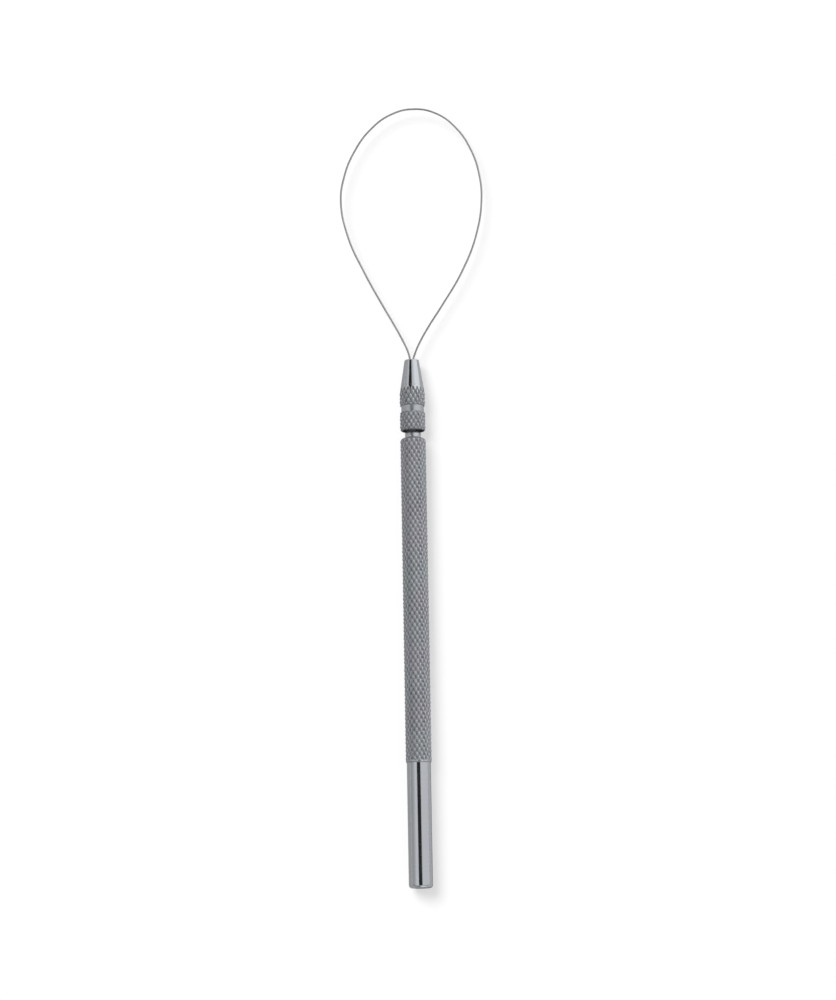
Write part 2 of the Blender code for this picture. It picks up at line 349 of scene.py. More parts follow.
def carry_ring(work, ring, stations, finish):
    """Extrudes a ring of edges through stations of (y, radius) and gives back the last one."""
    for y, radius in stations:
        made = bmesh.ops.extrude_edge_only(work, edges=ring)["geom"]
        for item in made:
            if isinstance(item, bmesh.types.BMVert):
                set_radius(item, radius)
                item.co.y = y
            if isinstance(item, bmesh.types.BMFace):
                item.material_index = finish
        ring = [g for g in made if isinstance(g, bmesh.types.BMEdge) and g.is_boundary]
    return ring


def close_on_axis(work, ring, y):
    """Draws a ring together to one point on the axis."""
    verts = list({vert for edge in ring for vert in edge.verts})
    bmesh.ops.pointmerge(work, verts=verts, merge_co=(0, y, 0))


def face_off(work, y, finish):
    """Fills the flat ring between the two open outlines that lie across the tool at y."""
    made = bmesh.ops.triangle_fill(
        work, use_beauty=True, edges=ring_at(work, y), normal=(0, 1, 0)
    )["geom"]
    for item in made:
        if isinstance(item, bmesh.types.BMFace):
            item.material_index = finish


def round_edge(y, radius, edge, outward):
    """Stations of a quarter-round edge, from the cylinder to the end face at y."""
    stations = []
    for step in range(ARC_STEPS + 1):
        angle = pi / 2 * step / ARC_STEPS
        stations.append((y - outward * edge * (1 - sin(angle)), radius - edge * (1 - cos(angle))))
    return stations


def append(work, part, finish):
    """Adds one mesh in the making to another, with its own finish."""
    for face in part.faces:
        face.material_index = finish
    mesh = bpy.data.meshes.new("part")
    part.to_mesh(mesh)
    part.free()
    work.from_mesh(mesh)
    bpy.data.meshes.remove(mesh)


def saw(part, place, outward, snap=SNAP, off=True):
    """Cuts a mesh along a plane and, if it is to come off, throws away what lies beyond."""
    geom = part.verts[:] + part.edges[:] + part.faces[:]
    bmesh.ops.bisect_plane(
        part, geom=geom, dist=snap, plane_co=place, plane_no=outward, clear_outer=off
    )


def knurl_depth(groove_a, groove_b, net, knurl):
    """How far the surface lies below the crests, from its place across both sets of grooves.

    Each set presses its rounded grooves in, and where two of them cross is the deepest point.
    The net share makes the grooves between the crossings deeper too.
    """
    a, b = [((1 + cos(2 * pi * at)) / 2) ** knurl.crest_width for at in (groove_a, groove_b)]
    either = 1 - (1 - a) * (1 - b)
    return knurl.depth * (net * either + (1 - net) * (a + b) / 2)


def knurl_stretch(work, start, end, outline, lines, net, runout=0, polished_from=None):
    """Wraps a sheet of diamonds round the tool from start to end.

    The sheet is a grid laid along both sets of grooves, in diamonds around and along. It is
    sawn off square, scored where the turned outline has its corners, and pressed down to the
    lower of the outline and the grooves, which reach their depth after the runout. Beyond
    polished_from, what the outline leaves of the crests is marked as polished.
    """
    knurl = bpy.context.scene.pulling_loop.knurl
    half_rows = max(2, round((end - start) / (knurl.pitch / 2)))
    diamond = 2 * (end - start) / half_rows
    first = -(half_rows // 4)
    last = first + half_rows / 2
    reach = 2 * ceil((knurl.diamonds + half_rows / 2) / 2) + 2
    sheet = bmesh.new()
    segments = reach * STEPS_PER_DIAMOND
    bmesh.ops.create_grid(sheet, x_segments=segments, y_segments=segments, size=reach / 2)
    slant = Matrix(((0.5, 0.5, 0), (0.5, -0.5, 0), (0, 0, 1)))
    bmesh.ops.transform(sheet, matrix=slant.to_4x4(), verts=sheet.verts)
    half_around = knurl.diamonds / 2
    for side in (1, -1):
        saw(sheet, (side * half_around, 0, 0), (side, 0, 0))
    saw(sheet, (0, first, 0), (0, -1, 0))
    saw(sheet, (0, last, 0), (0, 1, 0))
    for y in lines:
        saw(sheet, (0, first + (y - start) / diamond, 0), (0, 1, 0), off=False)
    polish = sheet.verts.layers.float.new(POLISH)
    for vert in sheet.verts:
        around, along, _ = vert.co
        y = start + (along - first) * diamond
        full = min(1, (y - start) / runout) if runout else 1
        pressed = CREST - full * knurl_depth(around + along, around - along, net, knurl)
        radius = min(outline(y), pressed)
        if polished_from and y > polished_from:
            vert[polish] = min(1, max(0, (pressed - outline(y)) / POLISH_STEP))
        angle = around * 2 * pi / knurl.diamonds + knurl.turn
        vert.co = (radius * sin(angle), y, radius * cos(angle))
    bmesh.ops.remove_doubles(sheet, verts=sheet.verts, dist=MERGE_DISTANCE)
    append(work, sheet, KNURLED)


def thread_stretch(work, start, end, wider, finish):
    """Sweeps the thread's outline along its helix and saws both ends off square.

    The same outline serves the neck and the nut, which is wider by its clearance, and both
    count their turns from the nut's rear face, so that crests lie in grooves.
    """
    settings = bpy.context.scene.pulling_loop
    thread = settings.thread
    crest = settings.handle.neck_diameter / 2 + wider
    root = crest - thread.depth
    flank = thread.depth * tan(FLANK_ANGLE)
    crest_flat = thread.lead / 8
    root_flat = thread.lead - 2 * flank - crest_flat
    first = NUT_REAR_Y + floor((start - NUT_REAR_Y) / thread.lead - 1) * thread.lead
    turns = ceil((end - first) / thread.lead) + 1
    places = (0, root_flat, root_flat + flank, root_flat + flank + crest_flat, thread.lead)
    radii = (root, root, crest, crest, root)
    sweep = bmesh.new()
    outline = [sweep.verts.new((0, first + y, radius)) for y, radius in zip(places, radii)]
    edges = [sweep.edges.new(pair) for pair in zip(outline, outline[1:])]
    steps = settings.knurl.diamonds * STEPS_PER_DIAMOND
    bmesh.ops.spin(
        sweep,
        geom=outline + edges,
        cent=(0, 0, 0),
        axis=(0, 1, 0),
        dvec=(0, thread.lead / steps, 0),
        angle=2 * pi * turns,
        steps=steps * turns,
    )
    bmesh.ops.remove_doubles(sweep, verts=sweep.verts, dist=MERGE_DISTANCE)
    saw(sweep, (0, start, 0), (0, -1, 0), MERGE_DISTANCE)
    saw(sweep, (0, end, 0), (0, 1, 0), MERGE_DISTANCE)
    append(work, sweep, finish)


def finished(work, name):
    """Turns a mesh in the making into an object, welded and with its faces pointing out."""
    bmesh.ops.remove_doubles(work, verts=work.verts, dist=MERGE_DISTANCE)
    bmesh.ops.recalc_face_normals(work, faces=work.faces)
    mesh = bpy.data.meshes.new(name)
    work.to_mesh(mesh)
    work.free()
    mesh.shade_smooth()
    mesh.set_sharp_from_angle(angle=SHARP_ANGLE)
    piece = bpy.data.objects.new(name, mesh)
    bpy.context.collection.objects.link(piece)
    return piece


# Handle


def make_handle(settings):
    """Models the handle: grip first, then the tail behind it and the neck before it."""
    handle, knurl, thread = settings.handle, settings.knurl, settings.thread
    tail_radius = handle.tail_diameter / 2
    neck_radius = handle.neck_diameter / 2
    grip_y = handle.tail_length
    shoulder_y = grip_y + handle.grip_length

    def outline(y):
        rise = tail_radius + (CREST - tail_radius) * (y - grip_y) / knurl.chamfer
        into = max(0, y - shoulder_y + handle.shoulder)
        drop = handle.shoulder - sqrt(max(0, handle.shoulder**2 - into**2))
        return min(rise, CREST - drop)

    lines = [grip_y + knurl.chamfer]
    lines += [y for y, _ in round_edge(shoulder_y, CREST, handle.shoulder, 1)[1:-1]]
    work = bmesh.new()
    knurl_stretch(work, grip_y, shoulder_y, outline, lines, knurl.grip_net, knurl.runout)

    tail = [(grip_y - SUPPORT, tail_radius), (handle.tail_edge + SUPPORT, tail_radius)]
    tail += round_edge(0, tail_radius, handle.tail_edge, -1)
    tail += [(0, tail_radius / 2), (0, SUPPORT)]
    close_on_axis(work, carry_ring(work, ring_at(work, grip_y), tail, POLISHED), 0)

    thread_y = NUT_REAR_Y + thread.start
    groove_radius = neck_radius - thread.depth - thread.clearance
    fillet = thread.relief / 2
    neck = [
        (shoulder_y, neck_radius + fillet),
        (shoulder_y + fillet / 2, neck_radius + fillet / 4),
        (shoulder_y + fillet, neck_radius),
        (shoulder_y + fillet + SUPPORT, neck_radius),
        (thread_y - 2 * thread.relief, neck_radius),
        (thread_y - thread.relief, groove_radius),
        (thread_y, groove_radius),
    ]
    carry_ring(work, ring_at(work, shoulder_y), neck, TURNED)

    thread_end_y = NECK_TIP_Y - thread.relief
    thread_stretch(work, thread_y, thread_end_y, 0, THREADED)
    face_off(work, thread_y, THREADED)

    bore = handle.shank_bore / 2
    wire_bore = handle.wire_bore / 2
    bore_end_y = NECK_TIP_Y - handle.shank_bore_depth
    drill_y = bore_end_y - handle.wire_bore_depth
    chamfer = thread.clearance
    tip = [
        (thread_end_y, groove_radius),
        (NECK_TIP_Y, groove_radius - chamfer),
        (NECK_TIP_Y, bore + chamfer),
        (NECK_TIP_Y - chamfer, bore),
        (bore_end_y, bore),
        (bore_end_y, wire_bore),
        (drill_y, wire_bore),
    ]
    ring = carry_ring(work, ring_at(work, thread_end_y), tip, THREADED)
    close_on_axis(work, ring, drill_y - wire_bore / tan(DRILL_ANGLE))
    return finished(work, "knurled_handle")


# Chuck nut


def make_nut(settings):
    """Models the nut: both bands, the groove between them, the cone and the threaded bore."""
    nut, knurl, thread = settings.nut, settings.knurl, settings.thread
    mouth_radius = nut.mouth_diameter / 2
    groove_radius = nut.groove_diameter / 2
    groove_y = NUT_REAR_Y + nut.rear_band
    front_y = groove_y + nut.groove_width
    cone_end_y = MOUTH_Y - nut.mouth_edge
    slope = (CREST - mouth_radius) / (nut.cone_length - nut.mouth_edge)
    plain_y = cone_end_y - (CREST - knurl.depth - mouth_radius) / slope

    def rear_outline(y):
        return CREST - knurl.chamfer + min(knurl.chamfer, y - NUT_REAR_Y, groove_y - y)

    def front_outline(y):
        edge = CREST - knurl.chamfer + y - front_y
        return min(edge, CREST, mouth_radius + slope * (cone_end_y - y))

    work = bmesh.new()
    work.verts.layers.float.new(POLISH)
    lines = [NUT_REAR_Y + knurl.chamfer, groove_y - knurl.chamfer]
    knurl_stretch(work, NUT_REAR_Y, groove_y, rear_outline, lines, knurl.nut_net)
    cone_y = MOUTH_Y - nut.cone_length
    lines = [front_y + knurl.chamfer, cone_y]
    knurl_stretch(work, front_y, plain_y, front_outline, lines, knurl.nut_net, 0, cone_y)

    groove = [(groove_y, groove_radius), (front_y, groove_radius)]
    carry_ring(work, ring_at(work, groove_y), groove, TURNED)
    face_off(work, front_y, TURNED)

    bore_radius = settings.handle.neck_diameter / 2 + thread.clearance
    relief_radius = bore_radius + thread.clearance / 2
    mouth_bore = nut.mouth_bore / 2
    inner_y = MOUTH_Y - nut.inner_cone
    edge = thread.clearance
    nose = [
        (plain_y + SUPPORT, mouth_radius + slope * (cone_end_y - plain_y - SUPPORT)),
        (cone_end_y - SUPPORT, mouth_radius + slope * SUPPORT),
        *round_edge(MOUTH_Y, mouth_radius, nut.mouth_edge, 1),
        (MOUTH_Y, mouth_bore + edge),
        (MOUTH_Y - edge, mouth_bore),
        (inner_y, bore_radius),
        (inner_y, relief_radius),
        (NECK_TIP_Y, relief_radius),
    ]
    carry_ring(work, ring_at(work, plain_y), nose, POLISHED)

    thread_y = NUT_REAR_Y + nut.entry_chamfer
    thread_stretch(work, thread_y, NECK_TIP_Y, thread.clearance, THREADED)
    face_off(work, NECK_TIP_Y, THREADED)
    # The rear face and the entry chamfer get the dark steel, painted shade of the gap to the
    # handle
    entry = [(thread_y, relief_radius), (NUT_REAR_Y, relief_radius + nut.entry_chamfer)]
    carry_ring(work, ring_at(work, thread_y), entry, PAINTED_SHADE_END)
    face_off(work, NUT_REAR_Y, PAINTED_SHADE_END)
    return finished(work, "knurled_chuck_nut")


# Collet


def make_collet(settings):
    """Models the split collet: a turned ring, sawn into jaws from its nose."""
    collet, nut = settings.collet, settings.nut
    bore = collet.bore / 2
    head = collet.head_diameter / 2
    shank = (settings.handle.shank_bore - 2 * settings.thread.clearance) / 2
    rear_y, tip_y = COLLET_LOW.y, COLLET_HIGH.y
    shoulder_y = rear_y + collet.shank_length
    bore_radius = settings.handle.neck_diameter / 2 + settings.thread.clearance
    slope = (bore_radius - nut.mouth_bore / 2) / nut.inner_cone
    gap = settings.thread.clearance
    tip = nut.mouth_bore / 2 + slope * (MOUTH_Y - tip_y) - gap
    cone_y = tip_y - (head - tip) / slope
    edge = collet.edge
    outline = [
        (rear_y, bore + edge),
        (rear_y, shank - edge),
        (rear_y + edge, shank),
        (shoulder_y, shank),
        (shoulder_y, head - edge),
        (shoulder_y + edge, head),
        (cone_y, head),
        (tip_y - edge, tip + slope * edge),
        (tip_y, tip - edge),
        (tip_y, bore + edge),
        (tip_y - edge, bore),
        (rear_y + edge, bore),
    ]
    work = bmesh.new()
    verts = [work.verts.new((0, y, radius)) for y, radius in outline]
    edges = [work.edges.new(pair) for pair in zip(verts, verts[1:] + verts[:1])]
    bmesh.ops.spin(
        work,
        geom=verts + edges,
        cent=(0, 0, 0),
        axis=(0, 1, 0),
        angle=2 * pi,
        steps=settings.knurl.diamonds * STEPS_PER_DIAMOND,
        use_merge=True,
    )
    piece = finished(work, "split_collet")
    cutters = []
    across = 3 * head
    for cut in range(collet.jaws // 2):
        blade = bmesh.new()
        bmesh.ops.create_cube(blade, size=1)
        size = (across, 2 * collet.slit_length, collet.slit_width)
        bmesh.ops.scale(blade, vec=size, verts=blade.verts)
        bmesh.ops.translate(blade, vec=(0, tip_y, 0), verts=blade.verts)
        turn = Matrix.Rotation((2 * cut + 1) * pi / collet.jaws, 3, "Y")
        bmesh.ops.rotate(blade, cent=(0, 0, 0), matrix=turn, verts=blade.verts)
        cutter = finished(blade, f"slit_{cut + 1}")
        cutters.append(cutter)
        slit = piece.modifiers.new(cutter.name, "BOOLEAN")
        slit.operation = "DIFFERENCE"
        slit.solver = "EXACT"
        slit.object = cutter
    depsgraph = bpy.context.evaluated_depsgraph_get()
    cut_mesh = bpy.data.meshes.new_from_object(piece.evaluated_get(depsgraph))
    piece.modifiers.clear()
    piece.data = cut_mesh
    piece.data.set_sharp_from_angle(angle=SHARP_ANGLE)
    for cutter in cutters:
        bpy.data.objects.remove(cutter, do_unlink=True)
    return piece


# Wire loop


def make_wire(settings):
    """Bends the wire along its curve, with a map of its length and its turn for the finish."""
    wire = settings.wire
    leg = [(wire.leg_spacing / 2, (at - 1) * wire.leg_length) for at in LEG_POINT_SHARES]
    leg.append((wire.mouth_spacing / 2, 0))
    route = [(-x, y) for x, y in leg]
    for side, along in LOOP_SHARES:
        y = along * wire.loop_length
        route.append((side * wire.loop_width + y * tan(wire.lean), y))
    route += reversed(leg)
    curve = bpy.data.curves.new("wire_route", "CURVE")
    curve.dimensions = "3D"
    curve.resolution_u = curve.render_resolution_u = WIRE_STEPS
    curve.bevel_depth = wire.diameter / 2
    curve.bevel_resolution = WIRE_ROUNDNESS
    curve.use_fill_caps = True
    spline = curve.splines.new("BEZIER")
    spline.bezier_points.add(len(route) - 1)
    for knot, (x, y) in zip(spline.bezier_points, route):
        knot.co = (x, MOUTH_Y + y, 0)
        knot.handle_left_type = knot.handle_right_type = "AUTO"
    bent = bpy.data.objects.new("bent_wire", curve)
    bpy.context.collection.objects.link(bent)
    depsgraph = bpy.context.evaluated_depsgraph_get()
    mesh = bpy.data.meshes.new_from_object(bent.evaluated_get(depsgraph))
    bpy.data.objects.remove(bent, do_unlink=True)
    work = bmesh.new()
    work.from_mesh(mesh)
    return finished(work, "spring_wire_loop")


# Node helpers


def put(tree, kind, settings=None, **sockets):
    """Adds a node, sets its settings, and fills or links its sockets by name."""
    node = tree.nodes.new(kind)
    for key, value in (settings or {}).items():
        setattr(node, key, value)
    for key, value in sockets.items():
        fill(tree, node.inputs[key.replace("_", " ")], value)
    return node


def fill(tree, socket, value):
    """Links another node's socket, or sets a value."""
    if isinstance(value, bpy.types.NodeSocket):
        tree.links.new(value, socket)
    else:
        socket.default_value = value


def reckon(tree, operation, *values):
    """A Math node over sockets or numbers, and gives back its result."""
    node = put(tree, "ShaderNodeMath", {"operation": operation})
    for socket, value in zip(node.inputs, values):
        fill(tree, socket, value)
    return node.outputs[0]


def remap(tree, value, low, high, to_low=0.0, to_high=1.0):
    """Maps a value from one range to another with soft ends."""
    node = put(
        tree, "ShaderNodeMapRange", {"interpolation_type": "SMOOTHSTEP"},
        Value=value, From_Min=low, From_Max=high, To_Min=to_low, To_Max=to_high,
    )
    return node.outputs["Result"]


def blend(tree, factor, first, second):
    """Mixes two numbers."""
    return put(tree, "ShaderNodeMix", Factor=factor, A=first, B=second).outputs["Result"]


def blend_colour(tree, factor, first, second):
    """Mixes two colours, whose sockets share their names with those for numbers."""
    node = put(tree, "ShaderNodeMix", {"data_type": "RGBA"})
    for place, value in ((0, factor), (6, first), (7, second)):
        fill(tree, node.inputs[place], value)
    return node.outputs[2]


def noise(tree, settings=None, **sockets):
    """A noise texture's value."""
    return put(tree, "ShaderNodeTexNoise", settings, **sockets).outputs["Fac"]


def bumped(tree, shader, height, distance):
    """Lets a height stand out from the shader's surface."""
    bump = put(tree, "ShaderNodeBump", Height=height, Strength=1.0, Distance=distance)
    fill(tree, shader.inputs["Normal"], bump.outputs["Normal"])


def new_group(name, inputs, outputs):
    """Starts a node group whose sockets are numbers: inputs with their defaults, and outputs."""
    tree = bpy.data.node_groups.new(name, "ShaderNodeTree")
    for label, value in inputs.items():
        socket = tree.interface.new_socket(label, in_out="INPUT", socket_type="NodeSocketFloat")
        socket.default_value = value
    for label in outputs:
        tree.interface.new_socket(label, in_out="OUTPUT", socket_type="NodeSocketFloat")
    return tree, tree.nodes.new("NodeGroupInput"), tree.nodes.new("NodeGroupOutput")


def shared(tree, name, **values):
    """Places a shared effect with its own values, and builds its group on the first use."""
    group = bpy.data.node_groups.get(name) or EFFECTS[name](name)
    return put(tree, "ShaderNodeGroup", {"node_tree": group}, **values)


def turned_place_group(name):
    """Where a point of a turned piece lies: its distance from the axis, and along the outline."""
    tree, _, end = new_group(name, {}, ("Radius", "Outline"))
    place = put(tree, "ShaderNodeTexCoord").outputs["Object"]
    axes = put(tree, "ShaderNodeSeparateXYZ", Vector=place).outputs
    squares = [reckon(tree, "POWER", axes[axis], 2) for axis in "XZ"]
    radius = reckon(tree, "SQRT", reckon(tree, "ADD", *squares))
    fill(tree, end.inputs["Radius"], radius)
    fill(tree, end.inputs["Outline"], reckon(tree, "ADD", axes["Y"], radius))
    return tree


def lathe_marks_group(name):
    """Fine rings that the turning tool leaves, coarse ones among them."""
    inputs = {"Spacing": 0.06 * MM, "Coarse share": 0.35}
    tree, start, end = new_group(name, inputs, ("Height", "Tone"))
    outline = shared(tree, "turned_place").outputs["Outline"]
    count = reckon(tree, "DIVIDE", outline, start.outputs["Spacing"])
    slow = reckon(tree, "MULTIPLY", count, COARSE_PACE)
    along = {"noise_dimensions": "1D"}
    fine = noise(tree, along, W=count, Scale=1.0, Detail=2.0)
    coarse = noise(tree, along, W=slow, Scale=1.0, Detail=3.0)
    fill(tree, end.inputs["Height"], blend(tree, start.outputs["Coarse share"], fine, coarse))
    fill(tree, end.inputs["Tone"], coarse)
    return tree


def groove_relief_group(name):
    """How deep a point lies in the grooves of a knurl or thread: 0 on a crest, 1 at the root."""
    inputs = {"Crest": 3 * MM, "Depth": 0.3 * MM}
    tree, start, end = new_group(name, inputs, ("Groove",))
    radius = shared(tree, "turned_place").outputs["Radius"]
    below = reckon(tree, "SUBTRACT", start.outputs["Crest"], radius)
    deep = reckon(tree, "DIVIDE", below, start.outputs["Depth"])
    fill(tree, end.inputs["Groove"], remap(tree, deep, 0.0, 1.0))
    return tree


def handling_group(name):
    """Marks of use: soft smudges, a slow drift of tone and hair scratches."""
    inputs = {"Smudge size": 6 * MM, "Scratch size": 0.6 * MM}
    tree, start, end = new_group(name, inputs, ("Smudge", "Drift", "Scratch"))
    place = put(tree, "ShaderNodeTexCoord").outputs["Object"]
    smudge_scale = reckon(tree, "DIVIDE", 1.0, start.outputs["Smudge size"])
    smudge = noise(tree, Vector=place, Scale=smudge_scale, Detail=4.0, Roughness=0.6)
    slow = reckon(tree, "MULTIPLY", smudge_scale, DRIFT_PACE)
    drift = noise(tree, Vector=place, Scale=slow, Detail=2.0, Distortion=0.4)
    scratch_scale = reckon(tree, "DIVIDE", 1.0, start.outputs["Scratch size"])
    stretched = put(
        tree, "ShaderNodeMapping", Vector=place, Rotation=SCRATCH_TURN, Scale=SCRATCH_STRETCH
    ).outputs["Vector"]
    scratch = noise(tree, Vector=stretched, Scale=scratch_scale, Detail=3.0)
    fill(tree, end.inputs["Smudge"], remap(tree, smudge, 0.35, 0.70))
    fill(tree, end.inputs["Drift"], remap(tree, drift, 0.30, 0.70))
    fill(tree, end.inputs["Scratch"], remap(tree, scratch, 0.56, 0.66))
    return tree


EFFECTS = {
    "turned_place": turned_place_group,
    "lathe_marks": lathe_marks_group,
    "groove_relief": groove_relief_group,
    "handling": handling_group,
}


# Materials


def new_material(name, preview, metallic=1):
    """Starts a material and gives back its tree and its shader."""
    material = bpy.data.materials.new(name)
    material.use_nodes = True
    material.diffuse_color = (*preview, 1)
    tree = material.node_tree
    shader = tree.nodes["Principled BSDF"]
    shader.inputs["Metallic"].default_value = metallic
    return material, tree, shader


def tinted(base, tint):
    """A colour with each channel made lighter or darker, and full alpha."""
    return (*[min(1, channel * factor) for channel, factor in zip(base, tint)], 1)


def tone(base, factor=1.0):
    """A colour made lighter or darker, with full alpha."""
    return tinted(base, 3 * [factor])


def turned_metal(name, base, rings):
    """A turned metal: rings of the cutting tool, hair scratches and smudges."""
    roughness, spacing, ring_height = rings
    material, tree, shader = new_material(name, base)
    marks = shared(tree, "lathe_marks", Spacing=spacing)
    handling = shared(tree, "handling", Smudge_size=7 * MM, Scratch_size=0.5 * MM)
    dark, pale = [tone(base, factor) for factor in RING_TONES]
    ringed = blend_colour(tree, marks.outputs["Tone"], dark, pale)
    drifted = blend_colour(tree, handling.outputs["Drift"], ringed, tone(base, DRIFT_TONE))
    fill(tree, shader.inputs["Base Color"], drifted)
    most = roughness + SMUDGE_ROUGHNESS
    worn = remap(tree, handling.outputs["Smudge"], 0.0, 1.0, roughness, most)
    scratched = reckon(tree, "MULTIPLY", handling.outputs["Scratch"], SCRATCH_ROUGHNESS)
    fill(tree, shader.inputs["Roughness"], reckon(tree, "ADD", worn, scratched))
    bumped(tree, shader, marks.outputs["Height"], ring_height)
    return material


def grooved_metal(name, base, groove, crest, depth):
    """A knurled or threaded metal: burnished crests, dull and darker grooves."""
    material, tree, shader = new_material(name, base)
    relief = shared(tree, "groove_relief", Crest=crest, Depth=depth).outputs["Groove"]
    handling = shared(tree, "handling", Smudge_size=4 * MM, Scratch_size=0.25 * MM)
    polished = put(tree, "ShaderNodeAttribute", {"attribute_name": POLISH}).outputs["Fac"]
    cool, warm = tinted(base, COOL_TINT), tinted(base, WARM_TINT)
    body = blend_colour(tree, handling.outputs["Drift"], cool, warm)
    # Darker the deeper a point lies below the crests, in the grooves and on the bands' chamfers, a
    # little uneven with the smudges
    smudged = remap(tree, handling.outputs["Smudge"], 0.0, 1.0, 0.8, 1.0)
    depth_darkening = reckon(tree, "MULTIPLY", relief, smudged)
    shaded = blend_colour(tree, depth_darkening, body, tone(groove))
    burnished = blend_colour(tree, polished, shaded, tone(base, BURNISHED_TONE))
    fill(tree, shader.inputs["Base Color"], burnished)
    rough = remap(tree, relief, 0.0, 1.0, CREST_ROUGHNESS, GROOVE_ROUGHNESS)
    speck = reckon(tree, "MULTIPLY", handling.outputs["Scratch"], SPECK_ROUGHNESS)
    dull = reckon(tree, "ADD", rough, speck)
    fill(tree, shader.inputs["Roughness"], blend(tree, polished, dull, BURNISHED_ROUGHNESS))
    place = put(tree, "ShaderNodeTexCoord").outputs["Object"]
    grain = noise(tree, Vector=place, Scale=GRAIN_SCALE, Detail=3.0, Roughness=0.6)
    bumped(tree, shader, grain, GRAIN_HEIGHT)
    return material


def knurled_steel(settings):
    """The steel of the grip and both bands, made once for handle and nut."""
    name, finish = "knurled_steel", settings.finish
    ready = bpy.data.materials.get(name)
    if ready:
        return ready
    return grooved_metal(name, finish.knurled, finish.groove, CREST, settings.knurl.depth)


def drawn_wire(name, base):
    """Cold-drawn spring wire: lines along it and a thin, uneven oxide."""
    material, tree, shader = new_material(name, base)
    handling = shared(tree, "handling", Smudge_size=5 * MM)
    mapped = put(tree, "ShaderNodeUVMap").outputs["UV"]
    stretched = put(tree, "ShaderNodeMapping", Vector=mapped, Scale=LINE_SCALE).outputs["Vector"]
    lines = noise(tree, Vector=stretched, Scale=1.0, Detail=3.0)
    body = blend_colour(tree, handling.outputs["Drift"], tone(base), tone(base, WIRE_DARK))
    fill(tree, shader.inputs["Base Color"], blend_colour(tree, lines, body, tone(base, WIRE_PALE)))
    fill(tree, shader.inputs["Roughness"], remap(tree, lines, 0.2, 0.8, *WIRE_ROUGHNESS))
    bumped(tree, shader, lines, LINE_HEIGHT)
    return material


def floor_material(base):
    """A pale surface that shows white and keeps the tool's shadow.

    Camera rays, and far glossy ones, get light of its own on top of what falls on it. Close by,
    the metal mirrors it without that light, a painted shade of the tool in the reflection, and a
    little paler, most so to the right of the tool, a painted reflection.
    """
    material, tree, shader = new_material("pale_floor", base, metallic=0)
    shader.inputs["Roughness"].default_value = 1
    shader.inputs["Specular IOR Level"].default_value = 0
    path = put(tree, "ShaderNodeLightPath").outputs
    mirrored = reckon(tree, "MAXIMUM", path["Is Glossy Ray"], path["Is Transmission Ray"])
    # Only far mirrored rays get the glow; held back close by, it paints the tool's shade into the
    # metal's reflection
    far = remap(tree, path["Ray Length"], 20 * MM, 300 * MM)
    far_seen = reckon(tree, "MULTIPLY", mirrored, far)
    painted_near_mask = reckon(tree, "SUBTRACT", mirrored, far_seen)
    place = put(tree, "ShaderNodeTexCoord").outputs["Object"]
    aside = put(tree, "ShaderNodeSeparateXYZ", Vector=place).outputs["X"]
    # Painted reflection: mirrored close by, the floor is paler, most so to the right of the tool
    side = remap(tree, aside, -2 * MM, 4 * MM)
    painted_near_reflection = blend_colour(tree, side, *[tone(base, paler) for paler in PAINTED_NEAR_REFLECTION])
    shade = blend_colour(tree, painted_near_mask, tone(base), painted_near_reflection)
    fill(tree, shader.inputs["Base Color"], shade)
    seen = reckon(tree, "MAXIMUM", path["Is Camera Ray"], far_seen)
    shader.inputs["Emission Color"].default_value = WHITE
    fill(tree, shader.inputs["Emission Strength"], reckon(tree, "MULTIPLY", seen, FLOOR_GLOW))
    return material


def dress(piece, materials, body, node):
    """Gives a piece its materials and body, and lets it stand for its solid."""
    for material in materials:
        piece.data.materials.append(material)
    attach(piece, body)
    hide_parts(node)


# Stage


